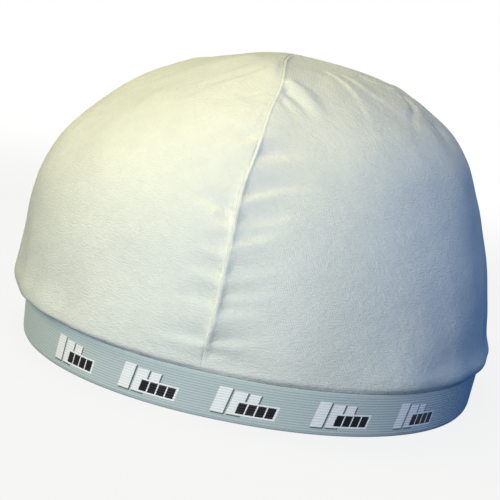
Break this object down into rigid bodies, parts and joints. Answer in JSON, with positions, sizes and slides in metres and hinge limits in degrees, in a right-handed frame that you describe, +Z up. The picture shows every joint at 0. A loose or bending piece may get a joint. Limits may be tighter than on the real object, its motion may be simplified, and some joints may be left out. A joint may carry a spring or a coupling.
{
  "type": "stocking cap",
  "caption": "Close-fitting skull cap: a domed crown of smooth stretch cloth with a centre seam, gathered onto a ribbed elastic head band.",
  "frame": {"origin": "middle of the cap's box on the plane of the rim, where the cap stands", "axes": "+Z up through the crown, -Y towards the front, +X to the right as seen from the front"},
  "size_m": [0.1612, 0.193, 0.1028],
  "materials": {
    "stretch_cloth": "smooth ivory stretch knit with a soft sheen and a fine grain",
    "ribbed_elastic": "matt grey woven elastic with fine horizontal ribs"
  },
  "bodies": {
    "root": {"crown_panel_left": "stretch_cloth", "crown_panel_right": "stretch_cloth", "crown_seam_allowance": "stretch_cloth", "head_band": "ribbed_elastic"}
  },
  "joints": []
}
